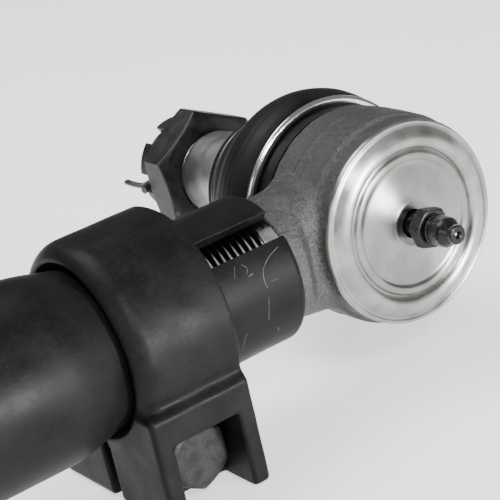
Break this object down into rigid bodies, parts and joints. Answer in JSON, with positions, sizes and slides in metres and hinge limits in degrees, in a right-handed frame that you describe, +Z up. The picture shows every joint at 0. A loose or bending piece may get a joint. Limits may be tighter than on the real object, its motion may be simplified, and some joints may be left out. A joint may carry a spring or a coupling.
{
  "type": "tie rod end",
  "caption": "Forged ball-joint tie rod end with a greasable socket, rubber boot and tapered stud, screwed into a slotted adjusting sleeve with clamps.",
  "frame": {"origin": "where the sleeve's axis crosses the stud's axis, near the ball's centre", "axes": "+Y along the stud away from the cover, -X along the sleeve away from the socket, +Z up with the clamp ears hanging down"},
  "size_m": [0.2052, 0.1074, 0.0574],
  "materials": {
    "forged_steel": "forged skin, bright turned rim and lip",
    "turned_steel": "circular brushing",
    "bearing_steel": "ground",
    "spring_steel": "oiled",
    "bright_ring": "bright zinc",
    "stud_steel": "ground taper",
    "pin_steel": "plain wire",
    "boot_rubber": "moulded, satin",
    "black_oxide": "black oxide, satin",
    "black_fitting": "gloss black oxide",
    "black_paint": "satin black with scuffs",
    "clamp_paint": "satin black over a cast skin"
  },
  "bodies": {
    "socket": {"socket_housing": "forged_steel", "upper_race": "bearing_steel", "pressure_seat": "bearing_steel", "preload_spring": "spring_steel", "cover_plate": "turned_steel", "grease_fitting": "black_fitting", "fitting_spring": "spring_steel", "boot_base_seal": "boot_rubber", "boot_ring": "bright_ring"},
    "check_ball": {"fitting_check_ball": "bearing_steel"},
    "boot_swing": {"dust_boot": "boot_rubber"},
    "stud_swing": {"boot_lip_ring": "bright_ring"},
    "stud": {"ball_stud": "stud_steel", "castle_nut": "black_oxide", "cotter_pin": "pin_steel"},
    "sleeve": {"adjusting_sleeve": "black_paint", "near_clamp": "clamp_paint", "far_clamp": "clamp_paint", "clamp_bolts": "black_oxide", "clamp_lock_washers": "spring_steel", "clamp_nuts": "black_oxide"}
  },
  "joints": [
    {"name": "sleeve_turn", "type": "hinge", "parent": "socket", "child": "sleeve", "pos_m": [-0.1, 0, 0], "axis": [1, 0, 0], "continuous": true},
    {"name": "swing_up_down", "type": "hinge", "parent": "socket", "child": "boot_swing", "pos_m": [0, 0.0025, 0], "axis": [1, 0, 0], "range_deg": [-18, 18], "deforming": ["dust_boot"]},
    {"name": "swing_side", "type": "hinge", "parent": "boot_swing", "child": "stud_swing", "pos_m": [0, 0.0025, 0], "axis": [0, 0, 1], "range_deg": [-18, 18], "deforming": ["dust_boot"]},
    {"name": "stud_spin", "type": "hinge", "parent": "stud_swing", "child": "stud", "pos_m": [0, 0.0025, 0], "axis": [0, 1, 0], "continuous": true},
    {"name": "check_ball_slide", "type": "slide", "parent": "socket", "child": "check_ball", "axis": [0, 1, 0], "range_m": [0, 0.0008], "stiffness_N_per_m": 200, "springref_m": -0.0005, "deforming": ["fitting_spring"]}
  ]
}
